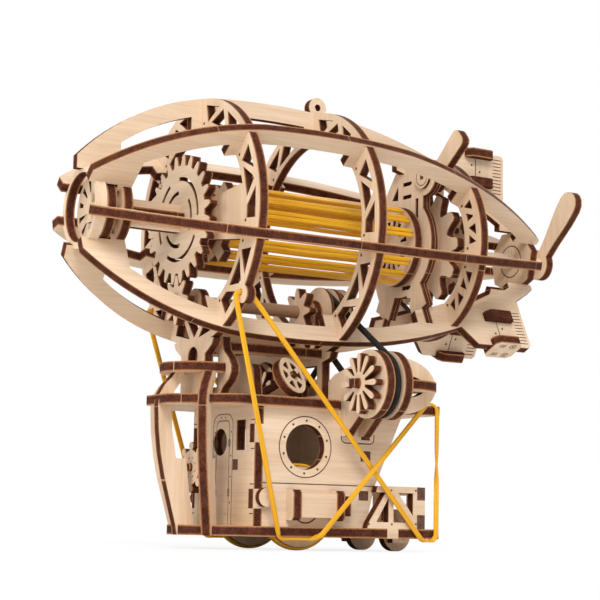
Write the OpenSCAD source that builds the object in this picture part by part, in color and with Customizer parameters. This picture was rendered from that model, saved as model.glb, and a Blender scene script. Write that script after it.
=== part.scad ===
// Airship model of laser-cut plywood: ribbed envelope, rubber motor, side engines and a wheeled gondola.
// The nose points to -X, port is -Y, up is +Z. Units are millimetres.

/* [Sheet stock] */
// thickness of every plywood piece
ply = 3; // [2.5:0.1:3.5]
// running clearance of a shaft in its bearing hole, on the radius
bearing_gap = 0.05; // [0.02:0.01:0.1]
// free space between pieces that move past each other
free_gap = 0.3; // [0.2:0.05:0.6]

/* [Envelope] */
// height of the envelope axis above the floor
axis_z = 98.5; // [96:0.5:104]
// front end of the ribs, measured from midway between the front and middle rings
nose_x = -61; // [-64:0.5:-60]
// rear end of the ribs
tail_x = 106; // [104:0.5:110]
// rib radius at the nose
nose_r = 15.4; // [14.8:0.1:16]
// largest rib radius
crest_r = 40.1; // [39.6:0.1:40.6]
// how far the front shoulder lies below the largest radius
shoulder_drop = 7.9; // [7.5:0.1:8.3]
// how far the end of the nose curve lies below the largest radius
front_drop = 0.9; // [0.7:0.1:1.1]
// how far the start of the tail curve lies below the largest radius
waist_drop = 1.8; // [1.5:0.1:2.1]
// how far the rib at the rear ring lies below the largest radius
stern_drop = 8.8; // [8.4:0.1:9.2]
// rib radius at the tail
tail_r = 12; // [11.8:0.1:13]
// width of a rib between the rings
rib_w = 5.2; // [4.6:0.1:5.6]
// depth of a rib where a ring crosses it
rib_deep = 9.4; // [8.8:0.1:9.8]
// front face of the front ring
ring1_x = -20.2; // [-20.6:0.1:-19.8]
// front face of the middle ring
ring2_x = 20.2; // [19.8:0.1:20.6]
// front face of the rear ring
ring3_x = 65.7; // [65.5:0.1:66.2]
// radial width of a ring
ring_w = 9.2; // [8.6:0.1:9.4]
// how far a ring lies below the outer edge of the ribs
ring_inset = 0.3; // [0.2:0.05:0.6]
// depth of the half-lap between rib and ring
lap = 4.6; // [4:0.1:5]
// radius of the hole in the hanging eye
eye_hole_r = 1.1; // [1:0.05:1.3]
// radius of the hanging eye
eye_r = 3.2; // [2.9:0.1:3.5]
// height of the tail fins above the envelope axis
fin_top = 35.8; // [35:0.1:37]
// hinge line of the tail fins
fin_line_x = 85.2; // [84:0.2:86.4]
// rear edge of the tail fins
fin_rear_x = 97.3; // [96.5:0.1:98]

/* [Rubber motor] */
// radius of the nose winder wheel
winder_r = 10.7; // [10.2:0.1:10.8]
// width of the cross-shaped front shaft
cross_w = 8.4; // [7.6:0.1:8.8]
// front face of the front gear
gear_x = -26.6; // [-27.2:0.1:-26.2]
// teeth of the front gear
gear_teeth = 24; // [24:24]
// teeth of the drive pinion
pinion_teeth = 8; // [8:8]
// tooth module of the front gear and its pinion
gear_module = 1.5417; // [1.5:0.01:1.58]
// radius at which the rubber bands run
band_r = 12.7; // [12.4:0.1:13]
// width of a rubber band
band_w = 3.2; // [2.8:0.1:3.4]
// thickness of a rubber band
band_t = 1.1; // [0.9:0.1:1.3]
// front face of the rear band holder
rear_holder_x = 52.2; // [51.8:0.1:52.4]
// front face of the rear bulkhead
bulkhead_x = 56; // [55.9:0.1:56.2]
// front face of the rear gear
rear_gear_x = 64.5; // [64.3:0.1:65]
// free space between the rear gear and the rear ring
rear_gear_gap = 2.4; // [1.8:0.1:3]
// radius of the propeller shaft
prop_shaft_r = 2.4; // [2.2:0.05:2.5]
// front face of the propeller
prop_x = 113.5; // [112.5:0.1:114]
// length of a propeller blade from the axis
blade_len = 29; // [27:0.2:30]
// length of the stop lever from its pivot
lever_len = 18.8; // [17:0.2:20]

/* [Lower drive and engines] */
// radius of the lower drive shaft
drive_r = 2; // [1.8:0.05:2.2]
// radius of the belts' round section
belt_r = 1; // [0.8:0.05:1]
// radius of the belt's centre line on the drive pulley
drive_pitch_r = 6.8; // [6.7:0.05:7.1]
// radius of the belt's centre line on an engine pulley
engine_pitch_r = 9.2; // [8.8:0.05:9.3]
// distance between the two belt grooves
groove_pitch = 4.2; // [4.1:0.05:4.5]
// width of an engine pulley
pulley_w = 2.8; // [2.6:0.1:3]
// distance of an engine axis from the middle plane
engine_y = 33; // [32.5:0.1:33.5]
// height of an engine axis above the floor
engine_z = 49.5; // [49:0.1:50]
// radius of an engine bracket's round head
head_r = 10.3; // [10:0.1:10.6]
// radius of an engine fan
fan_r = 9; // [8.6:0.1:9.4]
// radius of an engine axle
engine_axle_r = 1.6; // [1.5:0.05:1.7]

/* [Gondola] */
// underside of the deck above the floor
deck_z = 4; // [3.8:0.1:4.4]
// rear end of the deck and the roof
stern_x = 56; // [55.6:0.1:57]
// half width of the deck and the roof
half_w = 22; // [21.8:0.1:22.3]
// underside of the roof above the floor
roof_z = 42.2; // [42:0.1:42.6]
// front face of the front wall
front_wall_x = -9; // [-9.4:0.1:-8.8]
// radius of the porthole
port_r = 6.8; // [6.2:0.1:7.2]
// underside of the canopy above the floor
canopy_z = 52; // [51.6:0.1:52.4]
// radius of the canopy
canopy_r = 11.6; // [11.2:0.1:12]
// half width of the pylon's end plates
pylon_half = 9; // [8.8:0.1:9.4]

/* [Wheels and trim] */
// radius of a main wheel over its tyre
wheel_r = 13; // [12.6:0.1:13.2]
// thickness of a tyre
tyre_t = 1; // [0.8:0.1:1.2]
// position of the main axle
axle_x = 9; // [8.8:0.1:9.4]
// radius of the main axle
axle_r = 1.5; // [1.4:0.05:1.7]
// radius of a rear roller
roller_r = 5; // [4.8:0.1:5.2]
// position of the roller axle
roller_x = 48; // [47.6:0.1:48.2]
// radius of the roller axle
roller_axle_r = 1.2; // [1.1:0.05:1.3]
// radius of the helm over its handles
helm_r = 7.6; // [7.2:0.1:7.7]
// height of the helm axis above the floor
helm_z = 24; // [23.6:0.1:24.6]
// radius of the pylon hand wheel
handwheel_r = 6; // [5.6:0.1:6.2]
// width of a rigging band
rig_w = 1.6; // [1.4:0.1:1.7]
// thickness of a rigging band
rig_t = 1; // [0.8:0.05:1]

/* [Hidden] */
$fn = 48;
step = 360 / 7;
x_mid = (nose_x + prop_x + ply) / 2;
half = ply / 2;
// centre and radius of the circle through three points
function det3(a, b, c) = 2 * (a[0] * (b[1] - c[1]) + b[0] * (c[1] - a[1]) + c[0] * (a[1] - b[1]));
function sq(p) = p[0] * p[0] + p[1] * p[1];
function mid_x(a, b, c) =
    (sq(a) * (b[1] - c[1]) + sq(b) * (c[1] - a[1]) + sq(c) * (a[1] - b[1])) / det3(a, b, c);
function mid_y(a, b, c) =
    (sq(a) * (c[0] - b[0]) + sq(b) * (a[0] - c[0]) + sq(c) * (b[0] - a[0])) / det3(a, b, c);
function arc3(a, b, c) = [mid_x(a, b, c), mid_y(a, b, c), norm(a - [mid_x(a, b, c), mid_y(a, b, c)])];
shoulder_r = crest_r - shoulder_drop;
front_r = crest_r - front_drop;
waist_r = crest_r - waist_drop;
stern_r = crest_r - stern_drop;
nose_arc = arc3([nose_x, nose_r], [nose_x + 23, shoulder_r], [nose_x + 47, front_r]);
long_arc = arc3([nose_x + 47, front_r], [8, crest_r], [38, waist_r]);
tail_arc = arc3([38, waist_r], [66, stern_r], [tail_x, tail_r]);
function arc_z(a, x) = a[1] + sqrt(a[2] * a[2] - (x - a[0]) * (x - a[0]));
function rib_r(x) = x < nose_x + 47 ? arc_z(nose_arc, x) : x < 38 ? arc_z(long_arc, x) : arc_z(tail_arc, x);
ring1_r = rib_r(ring1_x) - ring_inset;
ring2_r = rib_r(ring2_x + ply) - ring_inset;
ring3_r = rib_r(ring3_x + ply) - ring_inset;
ring3_in_r = ring3_r - ring_w + 0.8;
rear_gear_r = ring3_in_r - rear_gear_gap;
// nose pieces
nose_ring_x = nose_x + 2;
winder_x = nose_ring_x + ply + 1;
nose_bulk_x = winder_x + ply + 1.9;
nose_ring_r = 12.2;
nose_web_z = winder_r + 0.7;
nose_bulk_r = 11.2;
nose_notch_r = 9.2;
// shafts and gears
cross_r = norm([cross_w / 2, half]) + bearing_gap + 0.03;
holder_x = ring1_x + ply + free_gap;
hook_turns = [50, 140, 230, 320];
band_spread = 23;
gear_pitch_r = gear_module * gear_teeth / 2;
pinion_pitch_r = gear_module * pinion_teeth / 2;
drive_z = -(gear_pitch_r + pinion_pitch_r);
lever_x = bulkhead_x + ply + free_gap;
lever_hub_r = 4.4;
lever_lean = 50;
lever_pin_y = -12.6;
lever_pin_z = 21.6;
second_wheel_x = rear_gear_x + ply + 6.5;
tail_plate_x = tail_x - 4;
tail_plate_z = 10;
// belts and engines
groove1_x = ring2_x + ply + 2.7;
engine_dz = engine_z - axis_z;
flange_t = 0.9;
bracket_x = groove1_x - pulley_w / 2 - free_gap - ply;
bracket_gap = pulley_w + 2 * free_gap;
fan_x = bracket_x - free_gap - ply;
tail_l = 14;
tail_h = 8.6;
// gondola
deck_top = deck_z + ply;
roof_top = roof_z + ply;
wall_y = half_w - ply;
wall_in = wall_y - ply;
deck_bow = [-24.4, 5.5];
roof_bow = [-31.8, 6.9];
bow_mid_x = -9;
helm_x = bow_mid_x - half_w + 14.4;
roof_notch_x = bracket_x - 2.7;
rear_wall_x = 28.5;
rig_y = half_w + rig_t / 2 + 0.2;
rig_hook_y = 28.2;
rig_hook_z = axis_z - 24.6;
rig_top_x = [ring1_x - 1.8, ring1_x + ply + 1];
rig_lug = [29.2, -25.2];
rig_low_x = [-2.1, 10, 49.3];
rig_high_x = 48.4;
rig_post_x = 54.5;
wheel_y = wall_in - free_gap - half;
tank_x = 2.2;
tank_len = 18.2;
tank_z = 13.4;
valve_x = -5.6;
wall_foot_x = 30.6;
wall_bend = [33.6, 19.2];
wall_top_x = 44;
truss_front_x = 29.4;
truss_rear_x = 50.7;
truss_top = 19.8;
truss_tab_x = 36.7;
truss_tab_w = 4.1;
roller_y = 9.5;
hanger_y = 13;
front_neck = 7.4;
arch_x = ring1_x + 5.2;
pylon_mid_x = -4.2;
pylon_top_z = 0.3 - crest_r;
handwheel_c = [5.4, -14, 51.7];
handwheel_az = 23.7;
handwheel_el = 25;

// frame of the envelope: its axis is the X axis
module at_axis() {
    translate([-x_mid, 0, axis_z]) children();
}

// frame of the gondola: the floor is at zero height
module at_floor() {
    translate([-x_mid, 0, 0]) children();
}

// sheet across the length: drawing axes become Y and Z
module across(x, t = ply) {
    translate([x, 0, 0]) rotate([90, 0, 90]) linear_extrude(t) children();
}

// sheet along the length: drawing axes become X and Z
module along(y, t = ply) {
    translate([0, y + t, 0]) rotate([90, 0, 0]) linear_extrude(t) children();
}

// level sheet: drawing axes become X and Y
module level(z, t = ply) {
    translate([0, 0, z]) linear_extrude(t) children();
}

// round bar along X
module bar_x(x, l, r) {
    translate([x, 0, 0]) rotate([0, 90, 0]) cylinder(h = l, r = r);
}

// round bar along Y
module bar_y(y, l, r) {
    translate([0, y + l, 0]) rotate([90, 0, 0]) cylinder(h = l, r = r);
}

module span2d(x0, x1, z0, z1) {
    translate([x0, z0]) square([x1 - x0, z1 - z0]);
}

// area under the rib outline, moved in by a margin
module under_rib2d(margin) {
    intersection() {
        union() {
            translate([nose_arc[0], nose_arc[1]]) circle(r = nose_arc[2] - margin, $fn = 160);
            span2d(nose_x + 47, tail_x + 20, -100, 100);
        }
        translate([long_arc[0], long_arc[1]]) circle(r = long_arc[2] - margin, $fn = 360);
        translate([tail_arc[0], tail_arc[1]]) circle(r = tail_arc[2] - margin, $fn = 300);
        span2d(nose_x, tail_x, 0, 60);
    }
}

module bays2d(keep_stern) {
    c_end = keep_stern ? bulkhead_x - 3 : ring3_x - 3.5;
    intersection() {
        under_rib2d(rib_w);
        union() {
            span2d(nose_bulk_x + ply, ring1_x - 3.5, 0, 60);
            span2d(ring1_x + ply + 3.5, ring2_x - 3.5, 0, 60);
            span2d(groove1_x - belt_r - 0.1, c_end, 0, 60);
            span2d(ring3_x + ply + 3.5, tail_x - 10, 0, 60);
        }
    }
    intersection() {
        under_rib2d(rib_deep);
        span2d(nose_bulk_x + ply, tail_x - 10, 0, 60);
    }
}

module fin2d() {
    polygon([
        [69, rib_r(69) - 2], [75.5, fin_top], [fin_line_x, fin_top], [fin_line_x, rib_r(fin_line_x) - 2],
        [77, rib_r(77) - 2]
    ]);
}

// rib drawing: axis along the length, height is the radius
module rib2d(fin = false, eye = false) {
    difference() {
        union() {
            under_rib2d(0);
            if (eye) translate([ring2_x + half, crest_r + 1.6]) circle(r = eye_r);
        }
        bays2d(fin);
        span2d(nose_x - 1, nose_bulk_x - 1.5, -1, nose_web_z);
        span2d(nose_bulk_x - 2, nose_bulk_x + ply + 0.01, -1, nose_notch_r);
        span2d(nose_ring_x, nose_ring_x + ply, 0, nose_ring_r);
        span2d(tail_x - 10.01, tail_x + 1, -1, tail_plate_z);
        span2d(ring1_x, ring1_x + ply, 0, ring1_r - lap);
        span2d(ring2_x, ring2_x + ply, 0, ring2_r - lap);
        span2d(ring3_x, ring3_x + ply, 0, ring3_r - lap);
        if (fin) span2d(bulkhead_x, bulkhead_x + ply, 0, rib_r(bulkhead_x) - lap);
        if (eye) translate([ring2_x + half, crest_r + 1.6]) circle(r = eye_hole_r, $fn = 32);
    }
}

module rib(k, fin = false, eye = false) {
    at_axis() rotate([k * step, 0, 0]) union() {
        along(-half) rib2d(fin, eye);
        if (fin) along(-half) fin2d();
    }
}

module rib_top() {
    color("BurlyWood") rib(0, true, true);
}

module rib_upper_port() {
    color("BurlyWood") rib(1);
}

module rib_port() {
    color("BurlyWood") rib(2);
}

module rib_lower_port() {
    color("BurlyWood") rib(3, true);
}

module rib_lower_starboard() {
    color("BurlyWood") rib(4, true);
}

module rib_starboard() {
    color("BurlyWood") rib(5);
}

module rib_upper_starboard() {
    color("BurlyWood") rib(6);
}

function pol(r, a) = [-r * sin(a), r * cos(a)];
function turned(p, a) = [p[0] * cos(a) - p[1] * sin(a), p[0] * sin(a) + p[1] * cos(a)];

// three truss cut-outs between two ribs
module truss2d(r_out, r_in) {
    a = r_out - 2;
    b = r_in + 1.9;
    s = 7;
    polygon([pol(a, s), pol(a, s + 13.5), pol(b, s + 3.5)]);
    polygon([pol(b, s + 7.5), pol(a - 0.2, s + 18), pol(b, s + 26)]);
    polygon([pol(a, s + 22.5), pol(a, step - s), pol(b, step - s), pol(b, s + 30.5)]);
}

// four small triangles between two ribs
module fine_truss2d(r_out, r_in) {
    a = r_out - 2.4;
    b = r_in + 2.3;
    for (s = [9, 27]) {
        polygon([pol(a, s), pol(a, s + 8), pol(b, s + 1)]);
        polygon([pol(b, s + 6.5), pol(a, s + 12.5), pol(b, s + 14)]);
    }
}

module ring2d(r_out, r_in, r_lap) {
    difference() {
        circle(r = r_out, $fn = 120);
        circle(r = r_in, $fn = 120);
        for (k = [0 : 6]) {
            rotate(k * step) span2d(-half, half, r_lap, r_out + 2);
            rotate(k * step) children();
            rotate(k * step) translate([3, r_in + 1.4]) circle(r = 0.5, $fn = 16);
            rotate(k * step) translate([-3, r_in + 1.4]) circle(r = 0.5, $fn = 16);
        }
    }
}

// bearing lug for the lower drive shaft
module lug2d(r_in) {
    difference() {
        union() {
            translate([0, drive_z]) circle(r = drive_r + 2.2);
            span2d(-4.2, 4.2, -r_in - 1.5, drive_z);
        }
        translate([0, drive_z]) circle(r = drive_r + bearing_gap);
    }
}

module nose_ring() {
    color("SaddleBrown") at_axis() across(nose_ring_x) difference() {
        circle(r = nose_ring_r, $fn = 96);
        circle(r = nose_ring_r - 1.8, $fn = 96);
    }
}

module nose_bulkhead() {
    color("BurlyWood") at_axis() across(nose_bulk_x) difference() {
        circle(r = nose_bulk_r, $fn = 96);
        circle(r = cross_r);
        for (k = [0 : 6]) rotate(k * step) span2d(-half, half, nose_notch_r, nose_bulk_r + 2);
    }
}

module front_ring() {
    color("BurlyWood") at_axis() {
        across(ring1_x) difference() {
            union() {
                difference() {
                    ring2d(ring1_r, ring1_r - ring_w, ring1_r - lap) truss2d(ring1_r, ring1_r - ring_w);
                    translate([0, drive_z]) circle(r = drive_r + bearing_gap);
                }
                lug2d(ring1_r - ring_w);
                for (s = [-1, 1]) translate([s * rig_lug[0], rig_lug[1]]) circle(r = 2.7);
                difference() {
                    union() {
                        circle(r = 10);
                        intersection() {
                            circle(r = ring1_r - ring_w + 1, $fn = 120);
                            polygon([[-40, -10.5], [0, -5.5], [40, -10.5], [40, 8.5], [0, 5.5], [-40, 8.5]]);
                        }
                    }
                    circle(r = cross_r);
                }
            }
            for (s = [-1, 1]) translate([s * rig_hook_y, rig_hook_z - axis_z]) circle(r = 1);
        }
    }
}

module middle_ring() {
    color("BurlyWood") at_axis() across(ring2_x) union() {
        difference() {
            ring2d(ring2_r, ring2_r - ring_w, ring2_r - lap) truss2d(ring2_r, ring2_r - ring_w);
            translate([0, drive_z]) circle(r = drive_r + bearing_gap);
        }
        lug2d(ring2_r - ring_w);
    }
}

module rear_ring() {
    color("BurlyWood") at_axis() across(ring3_x) ring2d(ring3_r, ring3_in_r, ring3_r - lap)
        fine_truss2d(ring3_r, ring3_in_r);
}

// rear bulkhead with tabs in the top and the two lowest ribs
module rear_bulkhead() {
    r_tab = rib_r(bulkhead_x) - lap;
    color("BurlyWood") at_axis() {
        across(bulkhead_x) difference() {
            union() {
                circle(r = 16.6, $fn = 96);
                translate([lever_pin_y, lever_pin_z]) circle(r = 6);
                polygon([
                    [-11.9, 8], [-11.9, 20], [-9.5, 26], [3, 26], [9.6, 17.5], [14, 8]
                ]);
                span2d(-half, half, 20, r_tab);
                for (k = [3, 4]) rotate(k * step) span2d(-half, half, 20, r_tab);
                for (k = [3, 4]) rotate(k * step) span2d(-4, 4, 0, 24);
            }
            circle(r = prop_shaft_r + bearing_gap);
            translate([-9.5, 8.6]) square([1.6, 6.6]);
            polygon([[1.9, 16], [5.4, 16.4], [1.9, 21]]);
            for (z = [20.8, 16.5, -13.7, -17.8]) translate([-3.2, z]) square([4.8, 1.3], center = true);
        }
        translate([0, lever_pin_y, lever_pin_z]) {
            bar_x(bulkhead_x + half, ply + free_gap + half + 0.4, 1.5);
            bar_x(bulkhead_x - 1, 1, 3.8);
        }
    }
}

module tail_plate() {
    color("BurlyWood") at_axis() across(tail_plate_x) difference() {
        rotate(90 + step / 2) circle(r = tail_plate_z / cos(180 / 7), $fn = 7);
        circle(r = prop_shaft_r + bearing_gap);
    }
}

module tail_flaps() {
    color("Wheat") at_axis() for (k = [0, 3, 4]) rotate([k * step, 0, 0]) along(-half) difference() {
        polygon([
            [fin_line_x, 15], [fin_line_x, fin_top], [fin_rear_x - 1, fin_top], [fin_rear_x, fin_top - 1],
            [fin_rear_x, 15]
        ]);
        translate([tail_arc[0], tail_arc[1]]) circle(r = tail_arc[2], $fn = 300);
    }
}

// chamfered plate that straddles a fin at the hinge line
module clip2d() {
    w = 4.6;
    polygon([
        [-2.9, -w], [5, -w], [6.5, -w + 1.5], [6.5, w - 1.5], [5, w], [-2.9, w], [-4.4, w - 1.5],
        [-4.4, -w + 1.5]
    ]);
}

module fin_clips() {
    outer_z = fin_top - 2.2;
    inner_z = fin_top - 12;
    color("SaddleBrown") at_axis() for (k = [0, 3, 4]) translate([fin_line_x, 0, 0])
        rotate([k * step, 0, 0]) difference() {
            for (z = [outer_z, inner_z]) level(z) clip2d();
            translate([-5, -half, outer_z - 0.5]) cube([12, ply, 2.7]);
            translate([-5, -half, inner_z - 0.5]) cube([12, ply, ply + 1]);
        }
}

// pylon plate under a ring: neck with a flare and an opening
module pylon_end2d(r, neck) {
    top = -r + 1.5;
    low = roof_top - axis_z;
    flare = canopy_z + ply + 2.6 - axis_z;
    difference() {
        polygon([
            [-neck, low], [neck, low], [neck, flare], [neck + 4, top - 2], [neck + 5, top], [-neck - 5, top],
            [-neck - 4, top - 2], [-neck, flare]
        ]);
        circle(r = r, $fn = 120);
        children();
    }
}

module pylon_ends() {
    low = roof_top - axis_z;
    color("BurlyWood") at_axis() {
        across(ring1_x) pylon_end2d(ring1_r, front_neck) translate([0, -ring1_r - 3.5]) circle(r = 3.1);
        across(ring2_x) pylon_end2d(ring2_r, pylon_half)
            span2d(-pylon_half + 2.6, pylon_half - 2.6, low + 2.2, -ring2_r - 2.4);
    }
}

// cross plate, two webs with round holes and the stem of the hand wheel
module pylon_sides() {
    low = roof_top - axis_z;
    web_y = 3;
    web_end_x = 14;
    color("Peru") at_axis() {
        across(pylon_mid_x) polygon([
            [-9.8, low], [9.8, low], [9.2, low + 5], [8.6, low + 8.8], [7.6, low + 10.4], [4.5, low + 10.4],
            [4.5, pylon_top_z], [-4.5, pylon_top_z], [-4.5, low + 10.4], [-7.6, low + 10.4],
            [-8.6, low + 8.8], [-9.2, low + 5]
        ]);
        for (s = [-1, 1]) along(s * web_y - half) difference() {
            span2d(pylon_mid_x + ply, web_end_x, low, pylon_top_z);
            for (x = [3, 10.4]) translate([x, low + 7.4]) circle(r = 4.2);
            translate([web_end_x, low + 7.4]) circle(r = 3.2);
        }
        translate(handwheel_c - [0, 0, axis_z]) rotate([0, 0, handwheel_az]) rotate([90 - handwheel_el, 0, 0])
            translate([0, 0, -12.2]) cylinder(h = 14.6, r = 1.2);
    }
}

module pylon_top() {
    color("SaddleBrown") at_axis() level(pylon_top_z) difference() {
        span2d(arch_x + ply, ring2_x, -pylon_half, pylon_half);
        for (i = [-1, 1]) translate([4 + i * 8, 0]) circle(r = 4);
    }
}

module handwheel() {
    color("SaddleBrown") at_floor() translate(handwheel_c) rotate([0, 0, handwheel_az])
        rotate([90 - handwheel_el, 0, 0]) translate([0, 0, -half]) linear_extrude(ply) difference() {
            union() {
                difference() {
                    circle(r = handwheel_r);
                    circle(r = handwheel_r - 1.5);
                }
                for (i = [0 : 2]) rotate(i * 60) span2d(-0.8, 0.8, -handwheel_r + 1, handwheel_r - 1);
                circle(r = 2.4);
            }
            circle(r = 1.2 + bearing_gap);
        }
}

// level sheet with a chamfered bow: front edge and half its length
module hull2d(bow, rear) {
    side_x = bow[0] + half_w - bow[1];
    polygon([
        [bow[0], -bow[1]], [side_x, -half_w], [rear, -half_w], [rear, half_w], [side_x, half_w],
        [bow[0], bow[1]]
    ]);
}

// bow post: distance from the bow's edge and height
module post2d() {
    translate([half_w, 0]) polygon([
        [-11.8, deck_top], [-8.6, deck_top], [-8.6, deck_z], [-6.4, deck_z], [-5.8, deck_top], [-3.8, 14],
        [-1.8, 21], [-0.3, 28], [0.6, 35], [1, 42],
        [0.6, 45.4], [-1.2, 48.4], [-3.4, 50.6], [-4.4, canopy_z], [-7.4, canopy_z], [-6.6, 49.6],
        [-4.2, 46.4], [-3.4, 42], [-3.8, 35], [-5.4, 26.5], [-8.8, 26.5], [-9.6, 20]
    ]);
}

module post(a) {
    translate([bow_mid_x, 0, 0]) rotate([0, 0, 180 + a]) along(-half) post2d();
}

module bow_frames() {
    color("BurlyWood") at_floor() for (a = [-45, 0, 45]) post(a);
}

// canopy and the arched plate behind it
module canopy() {
    arch_top = 63;
    color("SaddleBrown") at_floor() {
        level(canopy_z) difference() {
            translate([ring1_x + 2, 0]) circle(r = canopy_r, $fn = 80);
            span2d(ring1_x, ring1_x + 40, -pylon_half, pylon_half);
            span2d(arch_x + 1, ring1_x + 40, -30, 30);
        }
        across(arch_x) difference() {
            polygon([
                [-7.4, roof_top], [7.4, roof_top], [9.4, 47.7], [13, 50], [14.3, 52], [14.3, 54],
                [12.6, 56.4], [9.6, 58.8], [8.8, 61], [8.6, arch_top], [-8.6, arch_top], [-8.8, 61],
                [-9.6, 58.8], [-12.6, 56.4], [-14.3, 54], [-14.3, 52], [-13, 50], [-9.4, 47.7]
            ]);
            polygon([[-6, 48], [6, 48], [6.4, 57], [4, 59.5], [-4, 59.5], [-6.4, 57]]);
        }
    }
}

module roof() {
    color("BurlyWood") at_floor() difference() {
        level(roof_z) difference() {
            hull2d(roof_bow, stern_x);
            for (s = [-1, 1]) span2d(roof_notch_x, roller_x - 2, s > 0 ? wall_y : -40, s > 0 ? 40 : -wall_y);
        }
        for (a = [-45, 0, 45]) post(a);
    }
}

module deck() {
    color("BurlyWood") at_floor() difference() {
        level(deck_z) difference() {
            hull2d(deck_bow, stern_x);
            for (s = [-1, 1]) {
                translate([axle_x, s * wheel_y])
                    square([2 * wheel_r - 1.6, ply + 2 * free_gap], center = true);
                translate([roller_x, s * roller_y])
                    square([2 * roller_r + 1.4, ply + 2 * free_gap], center = true);
                translate([roller_x, s * hanger_y]) square([8, ply], center = true);
                translate([truss_tab_x, s > 0 ? half_w - ply : -half_w - 1])
                    square([truss_tab_w, ply + 1]);
            }
            translate([roller_x, 0]) square([2 * roller_axle_r + 1, 27], center = true);
        }
        for (a = [-45, 0, 45]) post(a);
    }
}

// heights of the fingers of the front wall that show on the side walls
finger_z = [[deck_top, deck_top + 5.1], [deck_top + 10.8, roof_z - 10.8], [roof_z - 5.3, roof_z]];

module front_wall() {
    color("BurlyWood") at_floor() across(front_wall_x) difference() {
        union() {
            span2d(-wall_in, wall_in, deck_top, roof_z);
            for (z = finger_z) span2d(-wall_y, wall_y, z[0], z[1]);
        }
        translate([1.7, 32]) circle(r = 4.1);
        for (s = [-1, 1]) translate([s * (wall_in - 5.1), 33.8]) span2d(-2.7, 2.7, -4.5, 4.5);
    }
}

// side wall drawing: axis along the length and height
module wall2d() {
    difference() {
        polygon([
            [front_wall_x, deck_top], [wall_foot_x, deck_top], wall_bend, [wall_top_x, roof_z],
            [front_wall_x, roof_z]
        ]);
        for (z = finger_z) span2d(front_wall_x - 1, front_wall_x + ply, z[0], z[1]);
        translate([8.6, 30.7]) circle(r = port_r);
        translate([axle_x, wheel_r]) circle(r = axle_r + bearing_gap);
    }
}

module side_walls() {
    color("BurlyWood") at_floor() for (s = [-1, 1]) along(s > 0 ? wall_in : -wall_y) wall2d();
}

module rear_wall() {
    color("Peru") at_floor() across(rear_wall_x) difference() {
        span2d(-wall_in, wall_in, deck_top, roof_z);
        translate([0, 28]) circle(r = 5);
    }
}

// gas tank on each side, with end flanges and a valve
module side_tanks() {
    z = tank_z;
    color("Wheat") at_floor() for (s = [-1, 1]) mirror([0, s > 0 ? 1 : 0, 0]) {
        translate([tank_x + ply, -wall_y - 3.6, z - 3.6]) cube([tank_len - 2 * ply, 3.6, 7.2]);
        for (x = [tank_x, tank_x + tank_len - ply]) across(x) polygon([
            [-wall_y, z - 4.5], [-wall_y - 3.4, z - 4.5], [-wall_y - 4.2, z - 3.5], [-wall_y - 4.2, z + 3.5],
            [-wall_y - 3.4, z + 4.5], [-wall_y, z + 4.5]
        ]);
        translate([tank_x + tank_len, -wall_y - 3, z - 3]) cube([ply, 3, 6]);
        translate([valve_x, 0, z + 2]) bar_y(-wall_y - 2.4, 2.4, 2.8);
    }
}

// side panel of the truss box: rails joined by diagonals, open in front
module truss_side2d(low, high) {
    x0 = truss_front_x;
    x1 = truss_rear_x;
    xm = truss_tab_x + 1.3;
    difference() {
        union() {
            polygon([[x0, low], [x1, low], [x1, high], [x0 + 3.6, high]]);
            span2d(truss_tab_x, truss_tab_x + truss_tab_w, deck_z, low);
        }
        polygon([[x0 - 1, low + 1.9], [x0 + 0.6, low + 1.9], [x0 + 6.6, high - 1.9], [x0 - 1, high - 1.9]]);
        polygon([[x0 + 3.2, low + 1.9], [xm - 0.9, low + 1.9], [xm - 0.9, high - 3.4]]);
        polygon([[xm + 0.9, low + 1.9], [xm + 0.9, high - 2.6], [x1 - 5.1, low + 1.9]]);
        polygon([[xm + 2.6, high - 1.9], [x1 - 4.5, high - 1.9], [x1 - 4.5, low + 4]]);
    }
}

module rear_truss() {
    low = deck_top;
    high = truss_top;
    finger = [[low - 1, low + 4.3], [high - 4, high + 1]];
    color("BurlyWood") at_floor() {
        for (s = [-1, 1]) along(s > 0 ? wall_y : -half_w) difference() {
            truss_side2d(low, high);
            for (z = finger) span2d(truss_rear_x - ply, truss_rear_x + 1, z[0], z[1]);
        }
        across(truss_rear_x - ply) difference() {
            span2d(-half_w, half_w, low, high);
            for (s = [0, 1]) mirror([s, 0]) {
                span2d(wall_y, half_w + 1, finger[0][1], finger[1][0]);
                span2d(2.3, wall_y - 2.7, low + 2.4, high - 2.4);
                span2d(roller_y - half - free_gap, hanger_y + half, low - 1, low + 3);
            }
        }
        for (s = [-1, 1]) along(s * hanger_y - half) difference() {
            span2d(roller_x - 4, roller_x + 2, 2.6, low + 6);
            translate([roller_x, roller_r]) circle(r = roller_axle_r + bearing_gap);
        }
    }
}

module helm_post() {
    color("SaddleBrown") at_floor() {
        across(helm_x) difference() {
            span2d(-3, 3, deck_top, helm_z + 3);
            translate([0, helm_z]) circle(r = 1.2);
        }
        translate([0, 0, helm_z]) bar_x(helm_x - 4.4, 7.4, 1.2);
    }
}

module helm() {
    color("SaddleBrown") at_floor() translate([0, 0, helm_z]) across(helm_x - free_gap - ply) difference() {
        union() {
            difference() {
                circle(r = helm_r - 2.4);
                circle(r = helm_r - 4.4);
            }
            for (i = [0 : 3]) rotate(i * 45) span2d(-0.8, 0.8, -helm_r + 1.2, helm_r - 1.2);
            for (i = [0 : 7]) rotate(i * 45) translate([0, helm_r - 1.2]) circle(r = 1.2);
            circle(r = 2.8);
        }
        circle(r = 1.2 + bearing_gap);
    }
}

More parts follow.
